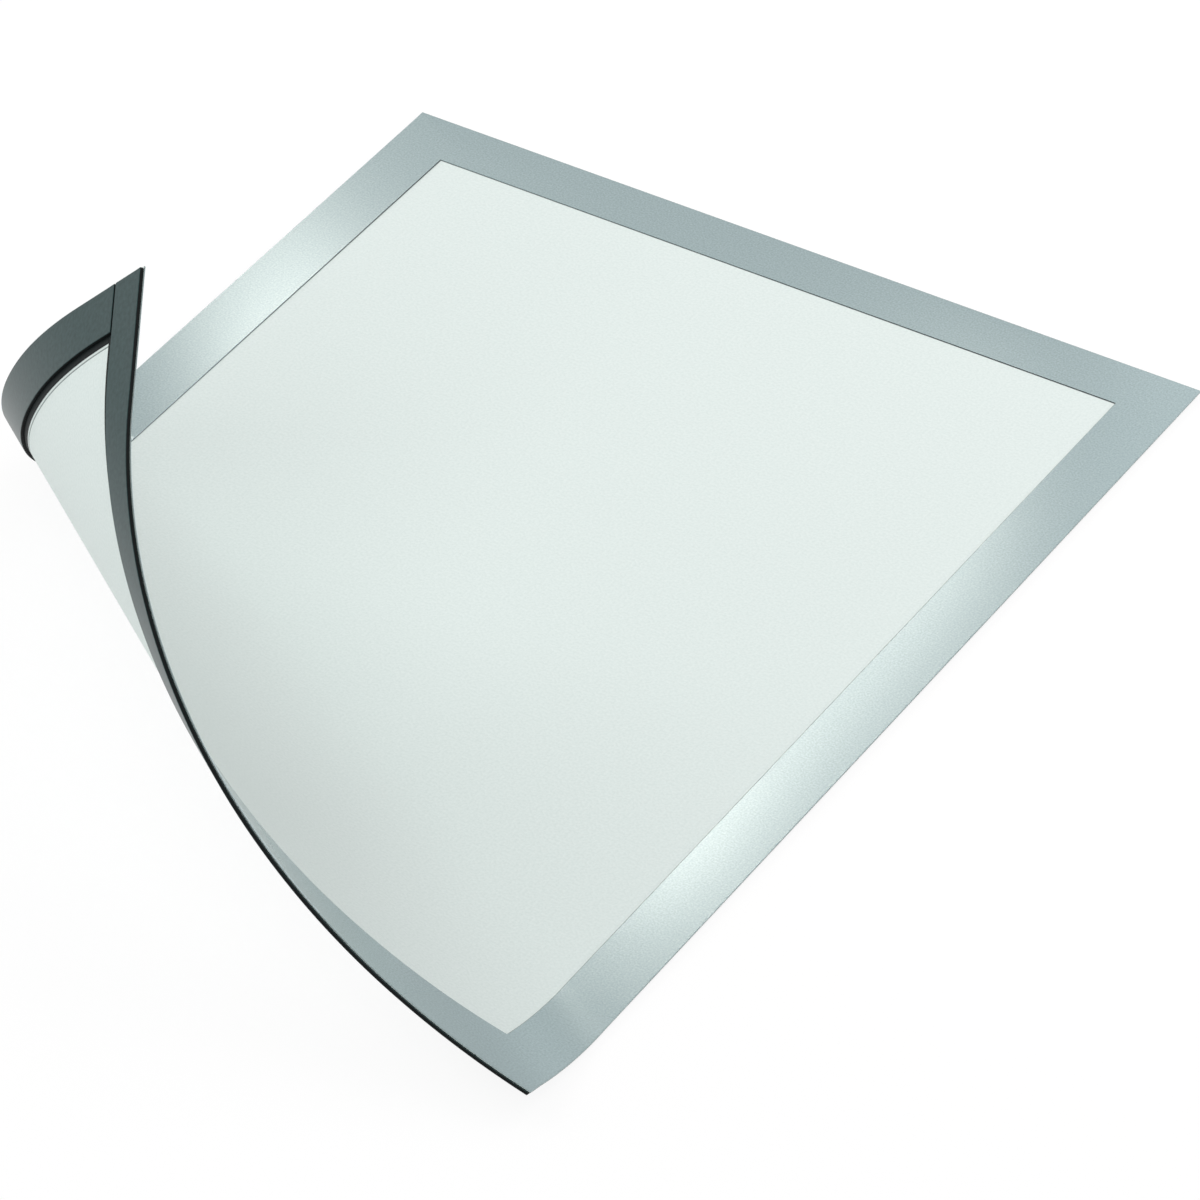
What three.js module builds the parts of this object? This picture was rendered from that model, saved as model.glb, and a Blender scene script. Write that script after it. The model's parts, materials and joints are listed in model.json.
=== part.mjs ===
// Magnetic document frame: a thin flexible panel with a silver border round a matt window film and
// magnetic strips on its back. Its lower left corner is peeled off and curls over the panel.
//
// Millimetres. +X is the panel's right, +Y its top and +Z its front. The origin is the middle of the
// back plane, where the magnetic strips meet the surface that the frame holds on to.
//
// The panel is drawn flat and cut along straight fold lines that fan out across the corner. Each
// length between two folds hangs in a group that turns about its fold line, inside the group of the
// length before it. So the sheet keeps its size when it curls, and it is flat at a fold angle of 0.

import * as THREE from 'three';

// Panel outline
const panelWidth = 236;
const panelHeight = 323;
const borderWidth = 16;

// Layers from back to front, with a thin line of glue between neighbours
const magnetThickness = 0.95;
const tapeThickness = 0.1;
const filmThickness = 0.15;
const borderThickness = 0.22;
const glueLine = 0.02;

// Strips on the back: the end strips run right across and the side strips butt against them
const sideInset = 0.6; // from the panel's left and right edges to the strips
const sideLedge = 2.8; // from a side strip's inner edge to the window's edge
const endLedge = 4.6; // from an end strip's inner edge to the window's edge
const sideTapeReveal = 0.8; // film left bare between a side strip's tape and the window's edge
const endTapeLip = 2.6; // how far an end strip's tape shows beyond the strip
const magnetSeam = 0.7; // gap where a side strip meets an end strip
const tapeSeam = 0.1; // gap where their tapes meet

// Peeled corner: where the fold lines cross the panel's edges, measured from the nearest lower corner
const foldCount = 6;
const foldAngle = THREE.MathUtils.degToRad(20.2);
const firstFoldLeft = 167; // up the left edge
const firstFoldRight = 20.5; // up the right edge
const lastFoldLeft = 49.5; // up the left edge
const lastFoldBottom = 53; // along the bottom edge
const leftBow = 52; // unevenness of the spacing on the left edge
const bottomBow = -46; // unevenness of the spacing on the bottom edge
const foldGap = 0.2; // between two neighbouring lengths

// Levels and widths that follow from the sizes above
const left = -panelWidth / 2;
const right = panelWidth / 2;
const bottom = -panelHeight / 2;
const top = panelHeight / 2;
const tapeBack = magnetThickness + glueLine;
const filmBack = tapeBack + tapeThickness + glueLine;
const borderBack = filmBack + filmThickness + glueLine;
const frontFace = borderBack + borderThickness;
const sideMagnetReach = borderWidth - sideLedge;
const endMagnetReach = borderWidth - endLedge;
const sideTapeReach = borderWidth - sideTapeReveal;
const endTapeReach = endMagnetReach + endTapeLip;
const lastLength = foldCount;

const silver = { color: 0xa9b8b8, roughness: 0.38, metalness: 0.75 };
const milky = { color: 0xe4ebe8, roughness: 0.6, metalness: 0 };
const anthracite = { color: 0x47524f, roughness: 0.5, metalness: 0 };
const black = { color: 0x1c2122, roughness: 0.7, metalness: 0 };

// A fold line: a point on it, the direction from it towards the peeled corner, and the axis about
// which the corner turns up.
function makeFold(index) {
  const share = index / (foldCount - 1);
  const bow = share * (1 - share);
  const firstFoldBottom = panelWidth / (1 - firstFoldRight / firstFoldLeft);
  const upLeft = THREE.MathUtils.lerp(firstFoldLeft, lastFoldLeft, share) + leftBow * bow;
  const alongBottom = THREE.MathUtils.lerp(firstFoldBottom, lastFoldBottom, share) + bottomBow * bow;
  const onLeft = new THREE.Vector2(left, bottom + upLeft);
  const onBottom = new THREE.Vector2(left + alongBottom, bottom);
  const run = onLeft.clone().sub(onBottom).normalize();
  return {
    point: onLeft,
    towardsCorner: new THREE.Vector2(-run.y, run.x),
    axis: new THREE.Vector3(run.x, run.y, 0),
  };
}

const folds = Array.from({ length: foldCount }, (_, index) => makeFold(index));

// Keeps the part of an outline that lies at least `inset` beyond a line, on the side that `normal`
// points to.
function trim(outline, point, normal, inset) {
  const depth = (corner) => corner.clone().sub(point).dot(normal) - inset;
  const kept = [];
  outline.forEach((corner, index) => {
    const next = outline[(index + 1) % outline.length];
    const here = depth(corner);
    const there = depth(next);
    if (here >= 0) {
      kept.push(corner);
    }
    if (here * there < 0) {
      kept.push(corner.clone().lerp(next, here / (here - there)));
    }
  });
  return kept;
}

// The part of a flat outline that belongs to one length, between the folds on its two sides.
function cutToLength(outline, length) {
  let piece = outline;
  if (length > 0) {
    const before = folds[length - 1];
    piece = trim(piece, before.point, before.towardsCorner, foldGap / 2);
  }
  if (length < lastLength) {
    const after = folds[length];
    piece = trim(piece, after.point, after.towardsCorner.clone().negate(), foldGap / 2);
  }
  return piece;
}

function outlineOf(points) {
  return points.map(([x, y]) => new THREE.Vector2(x, y));
}

function rectangle(x0, y0, x1, y1) {
  return outlineOf([[x0, y0], [x1, y0], [x1, y1], [x0, y1]]);
}

function plate(outline, back, thickness) {
  const settings = { depth: thickness, bevelEnabled: false };
  const geometry = new THREE.ExtrudeGeometry(new THREE.Shape(outline), settings);
  geometry.translate(0, 0, back);
  return geometry;
}

// One group for each length. A fold's group stands on its axis at the front face, which is the inside
// of the bend, so that neighbouring lengths close up edge to edge when the corner lies flat.
const frame = new THREE.Group();
const lengths = [frame];
for (const fold of folds) {
  const hinge = new THREE.Group();
  hinge.position.set(fold.point.x, fold.point.y, frontFace);
  hinge.quaternion.setFromAxisAngle(fold.axis, foldAngle);
  const length = new THREE.Group();
  length.position.copy(hinge.position).negate();
  hinge.add(length);
  lengths.at(-1).add(hinge);
  lengths.push(length);
}

// Adds one layer's piece to every length from `first` to `last`. The flat panel is length 0.
function addPiece(name, outline, back, thickness, finish, first, last) {
  for (let length = first; length <= last; length += 1) {
    const geometry = plate(cutToLength(outline, length), back, thickness);
    const mesh = new THREE.Mesh(geometry, new THREE.MeshStandardMaterial(finish));
    mesh.name = length === 0 ? name : `${name}_${length}`;
    lengths[length].add(mesh);
  }
}

// Window film, over the whole panel
addPiece('window_film', rectangle(left, bottom, right, top), filmBack, filmThickness, milky, 0, lastLength);

// Front border: one ring, which the folds cut into an arch, the lower right corner, lengths of the
// left and bottom bars, and the peeled corner
const windowLeft = left + borderWidth;
const windowRight = right - borderWidth;
const windowBottom = bottom + borderWidth;
const windowTop = top - borderWidth;

function addBorder(name, outline, first, last) {
  addPiece(name, outline, borderBack, borderThickness, silver, first, last);
}

const arch = outlineOf([
  [left, bottom],
  [windowLeft, bottom],
  [windowLeft, windowTop],
  [windowRight, windowTop],
  [windowRight, bottom],
  [right, bottom],
  [right, top],
  [left, top],
]);
const lowerRight = outlineOf([
  [left, bottom],
  [right, bottom],
  [right, top],
  [windowRight, top],
  [windowRight, windowBottom],
  [left, windowBottom],
]);
const lowerLeft = outlineOf([
  [left, bottom],
  [right, bottom],
  [right, windowBottom],
  [windowLeft, windowBottom],
  [windowLeft, top],
  [left, top],
]);
addBorder('front_border', arch, 0, 0);
addBorder('front_border_right', lowerRight, 1, 1);
addBorder('front_border_left', rectangle(left, bottom, windowLeft, top), 1, lastLength - 1);
addBorder('front_border_bottom', rectangle(left, bottom, right, windowBottom), 2, lastLength - 1);
addBorder('front_border_corner', lowerLeft, lastLength, lastLength);

// Magnetic strips and the tapes that hold them, on all four sides. A reach is the distance from the
// panel's edge to a strip's inner edge. The strips meet in butt joints.
function addStrips(kind, sideReach, endReach, seam, back, thickness, finish) {
  const stripLeft = left + sideInset;
  const stripRight = right - sideInset;
  const sideBottom = bottom + endReach + seam;
  const sideTop = top - endReach - seam;
  const add = (side, outline, first, last) => {
    addPiece(`${side}_${kind}`, outline, back, thickness, finish, first, last);
  };
  add('top', rectangle(stripLeft, top - endReach, stripRight, top), 0, 0);
  add('right', rectangle(right - sideReach, sideBottom, stripRight, sideTop), 0, 1);
  add('left', rectangle(stripLeft, sideBottom, left + sideReach, sideTop), 0, lastLength);
  add('bottom', rectangle(stripLeft, bottom, stripRight, bottom + endReach), 1, lastLength);
}

addStrips('tape', sideTapeReach, endTapeReach, tapeSeam, tapeBack, tapeThickness, black);
addStrips('magnet', sideMagnetReach, endMagnetReach, magnetSeam, 0, magnetThickness, anthracite);

export default frame;
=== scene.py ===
import json
import math

import bpy
import numpy as np
from mathutils import Matrix, Quaternion, Vector

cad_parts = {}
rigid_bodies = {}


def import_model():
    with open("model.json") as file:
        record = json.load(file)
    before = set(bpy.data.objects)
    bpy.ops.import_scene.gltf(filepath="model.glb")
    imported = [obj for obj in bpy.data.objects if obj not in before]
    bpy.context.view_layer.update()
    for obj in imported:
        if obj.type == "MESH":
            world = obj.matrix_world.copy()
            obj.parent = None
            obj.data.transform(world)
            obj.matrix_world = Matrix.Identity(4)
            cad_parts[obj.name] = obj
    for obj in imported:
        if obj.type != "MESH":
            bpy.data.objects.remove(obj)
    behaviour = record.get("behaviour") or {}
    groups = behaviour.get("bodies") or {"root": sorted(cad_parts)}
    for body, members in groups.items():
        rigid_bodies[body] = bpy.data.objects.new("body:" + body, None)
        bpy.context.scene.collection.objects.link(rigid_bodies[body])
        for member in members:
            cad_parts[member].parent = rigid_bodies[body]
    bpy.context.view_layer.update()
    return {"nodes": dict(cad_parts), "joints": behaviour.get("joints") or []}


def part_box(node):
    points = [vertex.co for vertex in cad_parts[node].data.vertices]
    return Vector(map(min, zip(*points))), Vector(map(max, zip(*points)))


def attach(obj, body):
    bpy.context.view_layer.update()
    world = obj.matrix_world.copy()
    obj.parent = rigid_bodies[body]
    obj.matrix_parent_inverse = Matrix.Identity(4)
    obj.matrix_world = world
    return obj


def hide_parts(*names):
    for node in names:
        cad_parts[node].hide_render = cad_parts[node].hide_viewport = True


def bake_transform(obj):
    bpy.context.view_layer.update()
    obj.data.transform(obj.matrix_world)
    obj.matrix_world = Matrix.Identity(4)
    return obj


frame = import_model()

# A magnetic document frame in metres: a limp laminate whose lower left corner is peeled up. The CAD
# model holds the peeled corner as flat lengths that are hinged along fold lines. Here every layer runs
# smoothly over those folds. Lines called rulings cross the corner: 0 is the first fold, 1 the last
# one, and the sheet bends only from one ruling to the next, so it keeps its size.


# The panel and its layers, read from the frame

def level_of(node):
    low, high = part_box(node)
    return low.z, high.z


panel_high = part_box("window_film")[1]
left, right = -panel_high.x, panel_high.x
bottom, top = -panel_high.y, panel_high.y
width, height = right - left, top - bottom
border_edges = sorted({round(v.co.x, 5) for v in frame["nodes"]["front_border"].data.vertices})
border_width = border_edges[1] - border_edges[0]
levels = {
    "border": level_of("front_border"),
    "film": level_of("window_film"),
    "tape": level_of("top_tape"),
    "magnet": level_of("top_magnet"),
}
chamfers = {"border": 0.00010, "film": 0.00003, "tape": 0.00003, "magnet": 0.00012}


# The folds, read from the frame

joints = sorted(frame["joints"], key=lambda joint: joint["name"])
bodies = [joints[0]["parent"]] + [joint["child"] for joint in joints]
fold_count = len(joints)
fold_turn = -math.radians(joints[0]["range_deg"][0])  # a hinge lies flat at its lower limit
front_level = joints[0]["pos_m"][2]


def turn_about(point, axis, angle):
    place = Matrix.Translation(point)
    return place @ Matrix.Rotation(angle, 4, axis) @ place.inverted()


# Where each length lies at rest, as a move of the flat panel
to_rest = [Matrix.Identity(4)]
for joint in joints:
    turn = turn_about(Vector(joint["pos_m"]), Vector(joint["axis"]), fold_turn)
    to_rest.append(turn @ to_rest[-1])

# How far up the left edge and along the bottom edge each fold starts on the flat panel
up_left, along_bottom = [], []
for joint, move in zip(joints, to_rest):
    point = move.inverted() @ Vector(joint["pos_m"])
    run = move.inverted().to_3x3() @ Vector(joint["axis"])
    up_left.append(point.y - bottom)
    along_bottom.append(-run.x / run.y * up_left[-1])

fold_step = 1 / (fold_count - 1)
half_step = fold_step / 2
fold_places = np.linspace(0, 1, fold_count)
left_run = np.polyfit(fold_places, up_left, 2)
bottom_run = np.polyfit(fold_places, along_bottom, 2)
first_bend = -half_step  # the panel is flat before this ruling
last_bend = 1 + half_step  # the tip is flat after this one


# The sheet: rulings on the flat panel, and where they lie at rest. A place on the sheet is a ruling and
# a share of the way along it, from the panel's left edge to its bottom edge.

def ruling_ends(ruling):
    """How far up the left edge and along the bottom edge a ruling starts. Flat parts have parallel ones."""
    bent = np.clip(ruling, first_bend, last_bend)
    scale = 1 + bent - ruling
    return np.polyval(left_run, bent) * scale, np.polyval(bottom_run, bent) * scale


def flat_place(ruling, share):
    """The place on the flat panel, measured from its lower left corner."""
    up, along = ruling_ends(ruling)
    return np.stack([share * along, (1 - share) * up], -1)


def moved(length, ruling, share):
    """Where a place lies if all of the sheet is in one length's plane."""
    flat = flat_place(ruling, share)
    points = np.column_stack([flat + [left, bottom], np.full(len(flat), front_level), np.ones(len(flat))])
    return (points @ np.array(to_rest[length]).T)[:, :3]


def rest_place(ruling, share):
    """The front face's points at rest, and its normals there."""
    points, normals = np.zeros((len(ruling), 3)), np.zeros((len(ruling), 3))
    ups = [np.array(move.to_3x3() @ Vector((0, 0, 1))) for move in to_rest]
    for length, part in ((0, ruling <= first_bend), (fold_count, ruling >= last_bend)):
        points[part] = moved(length, ruling[part], share[part])
        normals[part] = ups[length]
    fold = np.floor(ruling / fold_step + 0.5)
    for index in range(fold_count):
        part = (fold == index) & (ruling > first_bend) & (ruling < last_bend)
        middle = np.full(part.sum(), index * fold_step)
        along = share[part]
        t = ((ruling[part] - middle) / fold_step + 0.5)[:, None]
        start = moved(index, middle - half_step, along)
        corner = moved(index, middle, along)
        end = moved(index + 1, middle + half_step, along)
        points[part] = (1 - t) ** 2 * start + 2 * t * (1 - t) * corner + t ** 2 * end
        normal = (1 - t) * ups[index] + t * ups[index + 1]
        normals[part] = normal / np.linalg.norm(normal, axis=1, keepdims=True)
    return points, normals


def ruling_through(x, y):
    """The ruling through a place on the flat panel."""
    def beyond(ruling):
        up, along = ruling_ends(ruling)
        return x / along + y / up - 1

    if beyond(first_bend) >= 0:
        return first_bend - beyond(first_bend)
    if beyond(last_bend) <= 0:
        return last_bend - beyond(last_bend)
    low, high = first_bend, last_bend
    for _ in range(60):
        middle = (low + high) / 2
        low, high = (middle, high) if beyond(middle) < 0 else (low, middle)
    return (low + high) / 2


# How far past the first fold the panel's pieces reach, measured across the fold; a reach chosen so that
# the corner comes out nearly even when it is flat.
BEND_REACH = 0.031
TIP_GAP = 1e-6  # as a ruling: at the corner itself a ruling has no length

reach_up_left = BEND_REACH / abs(joints[0]["axis"][0])  # the same reach, measured along the left edge
panel_start = ruling_through(width, height)
panel_end = ruling_through(0, up_left[0] + reach_up_left)  # the first hinge's turn starts after it
tip_end = ruling_through(0, 0) - TIP_GAP


# Flat outlines, counterclockwise from the panel's lower left corner, and which of their sides are open
# edges. The sides where two bars of the border meet aren't.

def rectangle(x0, y0, x1, y1):
    return [(x0, y0), (x1, y0), (x1, y1), (x0, y1)], (True, True, True, True)


def border_bar(*corners):
    return list(corners), (True, False, True, False)


def border_outlines():
    inner_right, inner_top = width - border_width, height - border_width
    outer = [(0, 0), (width, 0), (width, height), (0, height)]
    inner = [(border_width, border_width), (inner_right, border_width),
             (inner_right, inner_top), (border_width, inner_top)]
    sides = ("bottom", "right", "top", "left")
    return {
        side: border_bar(outer[i], outer[(i + 1) % 4], inner[(i + 1) % 4], inner[i])
        for i, side in enumerate(sides)
    }


def strip_outlines(kind):
    """The end strips run right across, and the side strips stand between them."""
    end_low, end_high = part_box(f"top_{kind}")
    side_low, side_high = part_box(f"right_{kind}")
    inset, side_reach = right - side_high.x, right - side_low.x
    end_inset, end_reach = top - end_high.y, top - end_low.y
    low = top - side_high.y
    return {
        "top": rectangle(inset, height - end_reach, width - inset, height - end_inset),
        "bottom": rectangle(inset, end_inset, width - inset, end_reach),
        "left": rectangle(inset, low, side_reach, height - low),
        "right": rectangle(width - side_reach, low, width - inset, height - low),
    }


# Meshing

FACETS_PER_FOLD = 18
COLUMN_STEP = 0.012  # the longest face along a ruling
FLAT_ROWS = 10  # rows over each flat part that turns with a hinge
SEAM_SHARE = 0.004  # a narrow row beside each seam keeps the shading of two neighbours alike
NO_WIDTH = 1e-9
NO_AREA = 1e-13
SAME_PLACE = 1e-6
SHARP_ANGLE = math.radians(25)


def chamfered_corners(outline, chamfer):
    """An outline's corners on the face, inside the chamfers of its open sides."""
    corners, open_sides = outline
    found = []
    for i, corner in enumerate(corners):
        normals, insets = [], []
        for j in (i - 1, i):
            side = np.subtract(corners[(j + 1) % len(corners)], corners[j])
            normals.append(np.array([-side[1], side[0]]) / np.linalg.norm(side))
            insets.append(chamfer * open_sides[j])
        found.append(corner + np.linalg.solve(normals, insets))
    return found


def rows_of(outlines, span, chamfer):
    """Rulings for the rows of faces: even steps over the folds and beside them, one through each corner."""
    shares = [0, SEAM_SHARE, *np.linspace(0, 1, FACETS_PER_FOLD + 1)[1:-1], 1 - SEAM_SHARE, 1]
    rows = [(index + share) * fold_step - half_step for index in range(fold_count) for share in shares]
    for start, end in ((panel_end, first_bend), (last_bend, tip_end)):
        rows += [*np.linspace(start, end, FLAT_ROWS + 1)]
    for outline in outlines:
        rows += [ruling_through(*corner) for corner in outline[0]]
        rows += [ruling_through(*corner) for corner in chamfered_corners(outline, chamfer)]
    rows = [row for row in rows if span[0] < row < span[1]]
    return np.unique(np.round([*rows, *span], 9))


def cut(outline, ruling):
    """Where a ruling enters and leaves an outline, and how long a chamfer is there, as shares of it."""
    corners, open_sides = outline
    up, along = ruling_ends(ruling)
    start, run = np.array([0, up]), np.array([along, -up])
    enters, leaves = (-1.0, 0.0), (2.0, 0.0)
    for i, is_open in enumerate(open_sides):
        here, there = np.array(corners[i]), np.array(corners[(i + 1) % len(corners)])
        side = there - here
        depth = (side[0] * (start - here)[1] - side[1] * (start - here)[0]) / np.linalg.norm(side)
        slope = (side[0] * run[1] - side[1] * run[0]) / np.linalg.norm(side)
        found = (-depth / slope, is_open / abs(slope))
        if slope > 0:
            enters = max(enters, found)
        else:
            leaves = min(leaves, found)
    return enters, leaves


def length_inside(outline, ruling):
    """How much of a ruling lies inside an outline."""
    enters, leaves = cut(outline, ruling)
    return (leaves[0] - enters[0]) * np.hypot(*ruling_ends(ruling))


def columns_of(outline, ruling, count, chamfer):
    """Shares along a ruling across an outline, and how much of the chamfer is taken off at each."""
    enters, leaves = cut(outline, ruling)
    length = leaves[0] - enters[0]
    if length < -NO_WIDTH:
        return None
    length = max(length, 0)
    head, tail = min(enters[1] * chamfer, length / 3), min(leaves[1] * chamfer, length / 3)
    inner = np.linspace(enters[0] + head, enters[0] + length - tail, count + 1)
    shares = np.concatenate([[enters[0]], inner, [enters[0] + length]])
    taken = np.zeros(len(shares))
    taken[0], taken[-1] = enters[1] > 0, leaves[1] > 0
    return shares, taken


def surface_of(outlines, span, chamfer):
    """One layer's piece as a surface: ruling, share and chamfer of each point, and faces."""
    points, faces = [], []
    rows = rows_of(outlines, span, chamfer)
    for outline in outlines:
        longest = max(length_inside(outline, row) for row in rows)
        count = max(3, math.ceil(longest / COLUMN_STEP))
        before = None
        for row in rows:
            found = columns_of(outline, row, count, chamfer)
            if found is None:
                before = None
                continue
            first = len(points)
            points += [(row, share, taken) for share, taken in zip(*found)]
            if before is not None:
                faces += [(before + k, before + k + 1, first + k + 1, first + k) for k in range(count + 2)]
            before = first
    return np.array(points), faces


def weld(points, faces):
    """Joins points at the same place on the sheet, and drops the faces that have no area left."""
    places = np.round(flat_place(points[:, 0], points[:, 1]), 7)
    _, kept, index = np.unique(places, axis=0, return_index=True, return_inverse=True)
    index = index.ravel()
    joined = []
    for face in faces:
        corners = list(dict.fromkeys(int(index[i]) for i in face))
        if len(corners) < 3:
            continue
        flat = places[kept][corners]
        turned = np.roll(flat, -1, 0)
        area = (flat[:, 0] * turned[:, 1] - flat[:, 1] * turned[:, 0]).sum()
        if abs(area) > NO_AREA:
            joined.append(corners if area > 0 else corners[::-1])
    return points[kept], joined


def on_panel_edge(flat, a, b):
    """Whether the line between two points of the flat sheet is part of the panel's outer edge."""
    for axis, limit in ((0, 0), (0, width), (1, 0), (1, height)):
        if abs(flat[a][axis] - limit) < SAME_PLACE and abs(flat[b][axis] - limit) < SAME_PLACE:
            return True
    return False


def edge_slot(points, flat, a, b):
    """Which of a piece's materials the edge between two points has. A seam has that of the faces."""
    if points[a, 0] == points[b, 0]:
        return 0
    return 1 if on_panel_edge(flat, a, b) else 2


def add_sheet_map(mesh, flat):
    """A UV map of the flat sheet, for the points of the front and the back, as shares of its height."""
    corner_vertex = np.zeros(len(mesh.loops), int)
    mesh.loops.foreach_get("vertex_index", corner_vertex)
    sheet = np.tile(flat / height, (2, 1))
    mesh.uv_layers.new(name="flat").uv.foreach_set("vector", sheet[corner_vertex].ravel())


def make_piece(name, kind, outlines, span, materials):
    """A closed solid of one layer between two rulings. Its materials: faces, outer edges, other edges."""
    back_level, layer_front = levels[kind]
    points, faces = weld(*surface_of(outlines, span, chamfers[kind]))
    rest, normals = rest_place(points[:, 0], points[:, 1])
    taken = points[:, 2:3] * chamfers[kind]
    front = rest - normals * (front_level - layer_front + taken)
    back = rest - normals * (front_level - back_level - taken)
    count = len(rest)
    edges = {(a, b) for face in faces for a, b in zip(face, face[1:] + face[:1])}
    rim = [(a, b) for a, b in sorted(edges) if (b, a) not in edges]
    backs = [[i + count for i in face[::-1]] for face in faces]
    walls = [[a, a + count, b + count, b] for a, b in rim]
    mesh = bpy.data.meshes.new(name)
    mesh.from_pydata(np.vstack([front, back]).tolist(), [], faces + backs + walls)
    mesh.polygons.foreach_set("use_smooth", [True] * len(mesh.polygons))
    for material in materials:
        mesh.materials.append(material)
    flat = flat_place(points[:, 0], points[:, 1])
    edge_slots = [edge_slot(points, flat, a, b) for a, b in rim]
    mesh.polygons.foreach_set("material_index", [0] * 2 * len(faces) + edge_slots)
    add_sheet_map(mesh, flat)
    mesh.validate()
    mesh.set_sharp_from_angle(angle=SHARP_ANGLE)
    piece = bpy.data.objects.new(name, mesh)
    bpy.context.scene.collection.objects.link(piece)
    return piece


# Materials. Their patterns follow the flat sheet, so they stay in place when it bends.

def new_material(name):
    material = bpy.data.materials.new(name)
    material.use_nodes = True
    return material, material.node_tree.nodes, material.node_tree.links


def sheet_noise(nodes, links, grain, detail=2.0):
    """Noise on the flat sheet with a grain of that size in metres."""
    place = nodes.new("ShaderNodeUVMap")
    place.uv_map = "flat"
    noise = nodes.new("ShaderNodeTexNoise")
    noise.inputs["Scale"].default_value = height / grain
    noise.inputs["Detail"].default_value = detail
    links.new(place.outputs["UV"], noise.inputs["Vector"])
    return noise.outputs["Fac"]


def two_tone(nodes, links, source, dark, light, spread=(0.3, 0.7)):
    """A colour that goes from dark to light while the source goes over the spread."""
    made = nodes.new("ShaderNodeValToRGB")
    for stop, position, colour in zip(made.color_ramp.elements, spread, (dark, light)):
        stop.position = position
        stop.color = (*colour, 1)
    links.new(source, made.inputs["Fac"])
    return made.outputs["Color"]


def bump(nodes, links, source, shader, distance, strength):
    made = nodes.new("ShaderNodeBump")
    made.inputs["Distance"].default_value = distance
    made.inputs["Strength"].default_value = strength
    links.new(source, made.inputs["Height"])
    links.new(made.outputs["Normal"], shader.inputs["Normal"])


MATT_REACH = 0.035  # from the panel's lower right corner, all matt
GLOSS_REACH = 0.060  # from there, all gloss


def corner_gloss(nodes, links, gloss, matt):
    """Roughness of the foil: gloss all over, but matt on the bend at the panel's lower right corner."""
    place, distance = nodes.new("ShaderNodeUVMap"), nodes.new("ShaderNodeVectorMath")
    place.uv_map = "flat"
    distance.operation = "DISTANCE"
    distance.inputs[1].default_value = (width / height, 0, 0)
    fade = nodes.new("ShaderNodeMapRange")
    fade.interpolation_type = "SMOOTHSTEP"
    fade.inputs["From Min"].default_value = MATT_REACH / height
    fade.inputs["From Max"].default_value = GLOSS_REACH / height
    fade.inputs["To Min"].default_value = matt
    fade.inputs["To Max"].default_value = gloss
    links.new(place.outputs["UV"], distance.inputs[0])
    links.new(distance.outputs["Value"], fade.inputs["Value"])
    return fade.outputs["Result"]


def silver_foil():
    material, nodes, links = new_material("silver_foil")
    shader = nodes["Principled BSDF"]
    sparkle = sheet_noise(nodes, links, grain=0.0005, detail=1.0)
    dark, light = (0.285, 0.370, 0.380), (0.375, 0.475, 0.487)
    colour = two_tone(nodes, links, sparkle, dark, light, (0.3, 0.75))
    links.new(colour, shader.inputs["Base Color"])
    shader.inputs["Metallic"].default_value = 0.25
    links.new(corner_gloss(nodes, links, gloss=0.14, matt=0.28), shader.inputs["Roughness"])
    bump(nodes, links, sparkle, shader, distance=0.00001, strength=0.15)
    return material


# Near-black edge walls. The cut edges are dark, and the near-black also paints in the shade that falls on
# these walls.
def dark_edge_and_shade():
    material, nodes, links = new_material("dark_edge_and_shade")
    shader = nodes["Principled BSDF"]
    grain = sheet_noise(nodes, links, grain=0.0008)
    colour = two_tone(nodes, links, grain, (0.002, 0.003, 0.003), (0.005, 0.007, 0.007))
    links.new(colour, shader.inputs["Base Color"])
    shader.inputs["Roughness"].default_value = 0.7
    shader.inputs["Specular IOR Level"].default_value = 0.12
    return material


# A painted shadow line of the border's edge on the film.
EDGE_SHADOW_HALF_WIDTH = 0.0002  # half its width


def painted_edge_shadow(nodes, links):
    """1 on a painted shadow line of the border's edge along the window's left, right and top edges, 0
    elsewhere.
    """
    place, parts = nodes.new("ShaderNodeUVMap"), nodes.new("ShaderNodeSeparateXYZ")
    place.uv_map = "flat"
    links.new(place.outputs["UV"], parts.inputs[0])

    def math_node(operation, first, second):
        made = nodes.new("ShaderNodeMath")
        made.operation = operation
        for socket, value in zip(made.inputs, (first, second)):
            if isinstance(value, float):
                socket.default_value = value
            else:
                links.new(value, socket)
        return made.outputs[0]

    off_middle = math_node("ABSOLUTE", math_node("SUBTRACT", parts.outputs["X"], width / 2 / height), 0.0)
    beside = math_node("SUBTRACT", off_middle, (width / 2 - border_width) / height)
    above = math_node("SUBTRACT", parts.outputs["Y"], 1 - border_width / height)
    distance = math_node("ABSOLUTE", math_node("MAXIMUM", beside, above), 0.0)
    return math_node("LESS_THAN", distance, EDGE_SHADOW_HALF_WIDTH / height)


def milky_film():
    material, nodes, links = new_material("milky_film")
    shader = nodes["Principled BSDF"]
    speckle = sheet_noise(nodes, links, grain=0.0007)
    colour = two_tone(nodes, links, speckle, (0.715, 0.80, 0.775), (0.785, 0.865, 0.84))
    # The film's colour turns grey on that line: painted shadow of the border's edge, on the film's front and
    # back.
    edge_shadowed = nodes.new("ShaderNodeMix")
    edge_shadowed.data_type = "RGBA"
    edge_shadowed.inputs["B"].default_value = (0.25, 0.30, 0.29, 1)
    links.new(painted_edge_shadow(nodes, links), edge_shadowed.inputs["Factor"])
    links.new(colour, edge_shadowed.inputs["A"])
    links.new(edge_shadowed.outputs["Result"], shader.inputs["Base Color"])
    shader.inputs["Roughness"].default_value = 0.48
    shader.inputs["Specular IOR Level"].default_value = 0.2
    bump(nodes, links, speckle, shader, distance=0.00002, strength=0.3)
    return material


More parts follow.
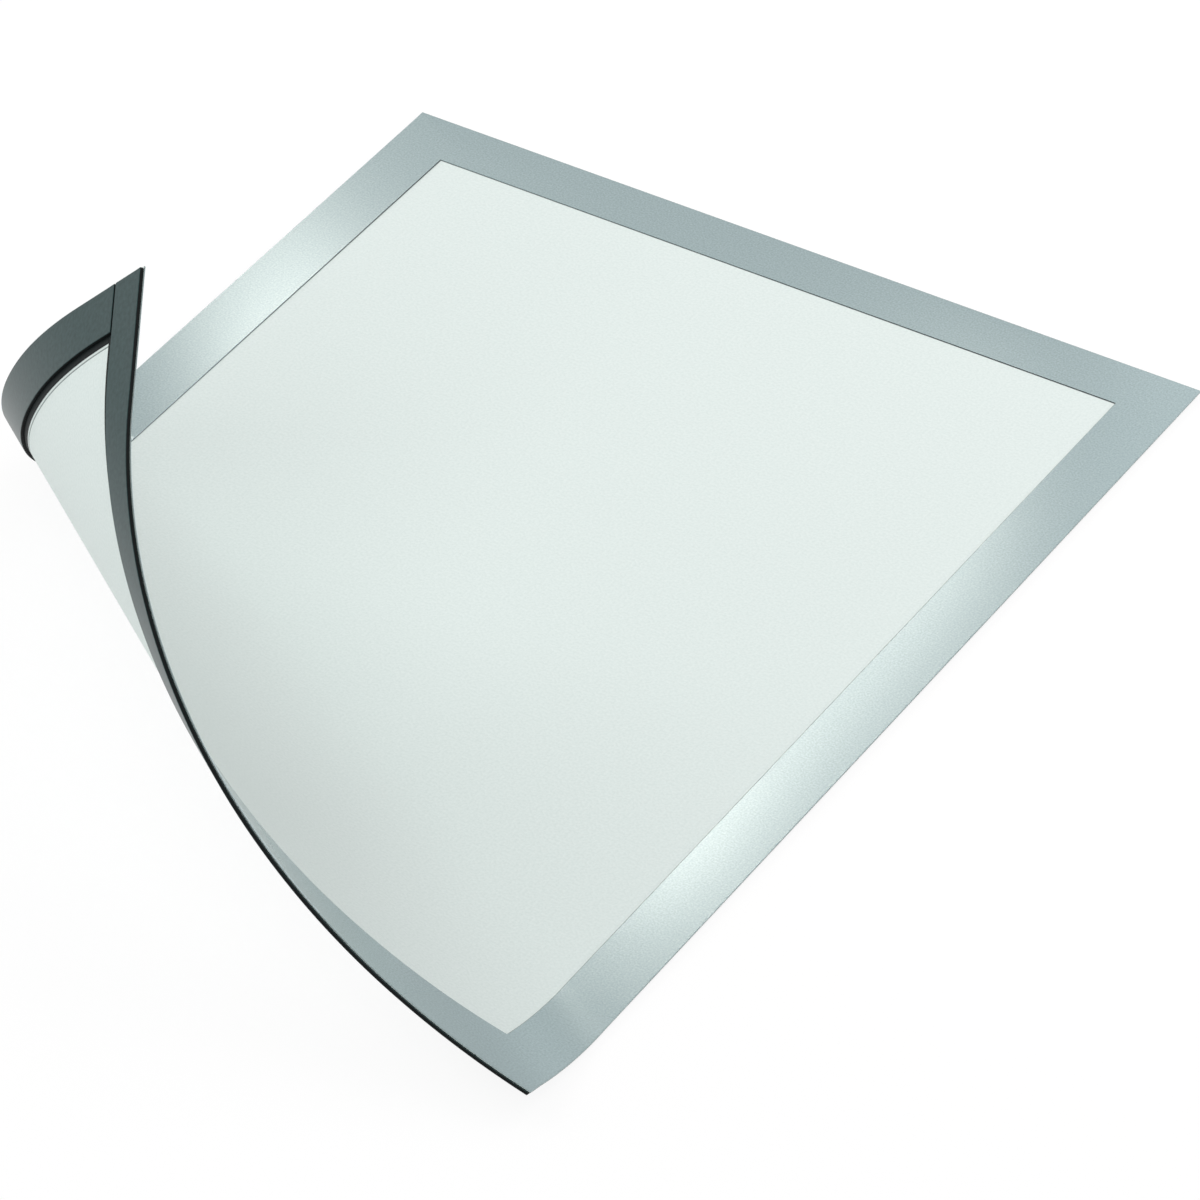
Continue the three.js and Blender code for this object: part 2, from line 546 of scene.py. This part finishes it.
def magnetic_rubber():
    material, nodes, links = new_material("magnetic_rubber")
    shader = nodes["Principled BSDF"]
    grain = sheet_noise(nodes, links, grain=0.0012, detail=3.0)
    colour = two_tone(nodes, links, grain, (0.024, 0.050, 0.050), (0.040, 0.076, 0.076))
    links.new(colour, shader.inputs["Base Color"])
    shader.inputs["Roughness"].default_value = 0.3
    shader.inputs["Specular IOR Level"].default_value = 0.12
    bump(nodes, links, grain, shader, distance=0.00002, strength=0.25)
    return material


def black_tape():
    material, nodes, links = new_material("black_tape")
    shader = nodes["Principled BSDF"]
    grain = sheet_noise(nodes, links, grain=0.0009)
    colour = two_tone(nodes, links, grain, (0.003, 0.006, 0.006), (0.008, 0.013, 0.013))
    links.new(colour, shader.inputs["Base Color"])
    shader.inputs["Roughness"].default_value = 0.55
    shader.inputs["Specular IOR Level"].default_value = 0.1
    return material


foil, edge_and_shade, film, rubber, tape = silver_foil(), dark_edge_and_shade(), milky_film(), magnetic_rubber(), black_tape()
# Many edge walls get the near-black material: painted shade on them as well as a dark cut.
finishes = {
    "border": [foil, foil, edge_and_shade],
    "film": [film, edge_and_shade, film],
    "tape": [tape, tape, tape],
    "magnet": [rubber, edge_and_shade, edge_and_shade],
}


# Pieces. Length 0 is the flat panel. Each later piece runs from the middle of one CAD length over a fold
# to the middle of the next, and lies in its bent place at rest. The first of them starts on the panel.

def span_of(length):
    if length == 0:
        return panel_start, panel_end
    low = panel_end if length == 1 else (length - 1) * fold_step - half_step
    high = tip_end if length == fold_count else length * fold_step - half_step
    return low, high


def add(name, kind, length, outlines, span, *nodes):
    piece = make_piece(name, kind, outlines, span, finishes[kind])
    if length == 0:
        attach(piece, bodies[0])
    else:
        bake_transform(piece)
    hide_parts(*nodes)


def add_film():
    outline = rectangle(0, 0, width, height)
    add("film_flat", "film", 0, [outline], span_of(0), "window_film")
    for length in range(1, fold_count + 1):
        add(f"film_curl_{length}", "film", length, [outline], span_of(length), f"window_film_{length}")


def add_border():
    bars = border_outlines()
    lower_right = [bars["right"], bars["bottom"]]
    add("border_flat", "border", 0, [bars["left"], bars["top"], bars["right"]], span_of(0), "front_border")
    add("border_right_curl_1", "border", 1, lower_right, span_of(1), "front_border_right_1")
    for length in range(1, fold_count):
        span, node = span_of(length), f"front_border_left_{length}"
        add(f"border_left_curl_{length}", "border", length, [bars["left"]], span, node)
    for length in range(2, fold_count):
        span, node = span_of(length), f"front_border_bottom_{length}"
        add(f"border_bottom_curl_{length}", "border", length, lower_right, span, node)
    corner, node = [bars["left"], bars["bottom"]], f"front_border_corner_{fold_count}"
    add(f"border_corner_curl_{fold_count}", "border", fold_count, corner, span_of(fold_count), node)


def add_strips(kind):
    """The right strip ends just past the first length's middle, and the bottom one starts just before it."""
    outlines = strip_outlines(kind)
    add(f"top_{kind}_flat", kind, 0, [outlines["top"]], span_of(0), f"top_{kind}")
    for side in ("left", "right"):
        add(f"{side}_{kind}_flat", kind, 0, [outlines[side]], span_of(0), f"{side}_{kind}")
    right_span = span_of(1)[0], span_of(2)[1]
    add(f"right_{kind}_curl_1", kind, 1, [outlines["right"]], right_span, f"right_{kind}_1")
    for length in range(1, fold_count + 1):
        span, node = span_of(length), f"left_{kind}_{length}"
        add(f"left_{kind}_curl_{length}", kind, length, [outlines["left"]], span, node)
    for length in range(2, fold_count + 1):
        span, nodes = span_of(length), [f"bottom_{kind}_{length}"]
        if length == 2:
            span, nodes = (span_of(1)[0], span[1]), [f"bottom_{kind}_1", *nodes]
        add(f"bottom_{kind}_curl_{length}", kind, length, [outlines["bottom"]], span, *nodes)


add_film()
add_border()
add_strips("tape")
add_strips("magnet")


# Camera

def add_camera():
    camera = bpy.data.objects.new("camera", bpy.data.cameras.new("camera"))
    camera.data.sensor_width = 36
    camera.data.lens = 240
    place, target = Vector((0.8476, -1.3076, 1.2247)), Vector((0.0294, 0.0135, -0.0039))
    camera.location = place
    camera.rotation_euler = (target - place).to_track_quat("-Z", "Y").to_euler()
    camera.data.clip_end = 50
    bpy.context.scene.collection.objects.link(camera)
    bpy.context.scene.camera = camera


# Light, floor and background

def white_to_camera(nodes, links):
    """1 for the rays that show the background: from the camera, in gloss and through glass."""
    path = nodes.new("ShaderNodeLightPath")
    seen = path.outputs["Is Camera Ray"]
    for kind in ("Is Glossy Ray", "Is Transmission Ray"):
        either = nodes.new("ShaderNodeMath")
        either.operation = "MAXIMUM"
        links.new(seen, either.inputs[0])
        links.new(path.outputs[kind], either.inputs[1])
        seen = either.outputs[0]
    return seen


def add_world():
    world = bpy.data.worlds.new("studio")
    bpy.context.scene.world = world
    world.use_nodes = True
    nodes, links = world.node_tree.nodes, world.node_tree.links
    nodes.clear()
    light, shown = nodes.new("ShaderNodeBackground"), nodes.new("ShaderNodeBackground")
    light.inputs["Color"].default_value = (0.98, 1.0, 1.0, 1)
    light.inputs["Strength"].default_value = 0.29
    shown.inputs["Strength"].default_value = 1.0
    mix, output = nodes.new("ShaderNodeMixShader"), nodes.new("ShaderNodeOutputWorld")
    links.new(white_to_camera(nodes, links), mix.inputs["Fac"])
    links.new(light.outputs[0], mix.inputs[1])
    links.new(shown.outputs[0], mix.inputs[2])
    links.new(mix.outputs[0], output.inputs["Surface"])


def add_softbox(name, place, size, power, roll=0, colour=(1, 1, 1)):
    """A rectangular lamp that looks at the panel's middle and is rolled about that direction."""
    lamp = bpy.data.lights.new(name, "AREA")
    lamp.shape = "RECTANGLE"
    lamp.size, lamp.size_y = size
    lamp.energy = power
    lamp.color = colour
    softbox = bpy.data.objects.new(name, lamp)
    softbox.location = place
    softbox.rotation_mode = "QUATERNION"
    look = (-Vector(place)).to_track_quat("-Z", "Y")
    softbox.rotation_quaternion = look @ Quaternion((0, 0, 1), math.radians(roll))
    bpy.context.scene.collection.objects.link(softbox)


def add_floor():
    far = 15
    mesh = bpy.data.meshes.new("floor")
    mesh.from_pydata([(-far, -far, 0), (far, -far, 0), (far, far, 0), (-far, far, 0)], [], [(0, 1, 2, 3)])
    floor = bpy.data.objects.new("floor", mesh)
    floor.location.z = -0.0002
    bpy.context.scene.collection.objects.link(floor)
    material, nodes, links = new_material("floor_white")
    shader = nodes["Principled BSDF"]
    shader.inputs["Base Color"].default_value = (0.9, 0.9, 0.9, 1)
    shader.inputs["Roughness"].default_value = 1
    shader.inputs["Specular IOR Level"].default_value = 0
    glow, mix = nodes.new("ShaderNodeEmission"), nodes.new("ShaderNodeMixShader")
    glow.inputs["Strength"].default_value = 1.03
    share = nodes.new("ShaderNodeMath")
    share.operation = "MULTIPLY"
    share.inputs[1].default_value = 0.86
    links.new(white_to_camera(nodes, links), share.inputs[0])
    links.new(share.outputs[0], mix.inputs["Fac"])
    links.new(shader.outputs[0], mix.inputs[1])
    links.new(glow.outputs[0], mix.inputs[2])
    links.new(mix.outputs[0], nodes["Material Output"].inputs["Surface"])
    mesh.materials.append(material)


add_camera()
add_world()
# The far lamps show in the foil, as bright stretches of the left and the right bar
WARM, PINK = (1.12, 1.0, 0.92), (1.08, 1.0, 1.02)
add_softbox("softbox_far_left", (-0.692, 1.057, 0.983), (0.326, 0.078), power=0.50, roll=-53, colour=WARM)
add_softbox("softbox_far_right", (-0.542, 1.110, 1.026), (0.243, 0.040), power=0.265, roll=51, colour=WARM)
add_softbox("softbox_back", (-0.08, 0.82, 0.50), (0.30, 0.30), power=0.19)
add_softbox("softbox_top", (0.30, 0.40, 0.50), (0.5, 0.5), power=1.35, colour=PINK)
add_softbox("softbox_left", (-1.2, 0.15, 0.75), (1.4, 1.4), power=12)
add_softbox("softbox_front", (1.65, -2.67, 2.48), (5.0, 2.0), power=84)
add_floor()
bpy.context.scene.view_settings.view_transform = "Standard"
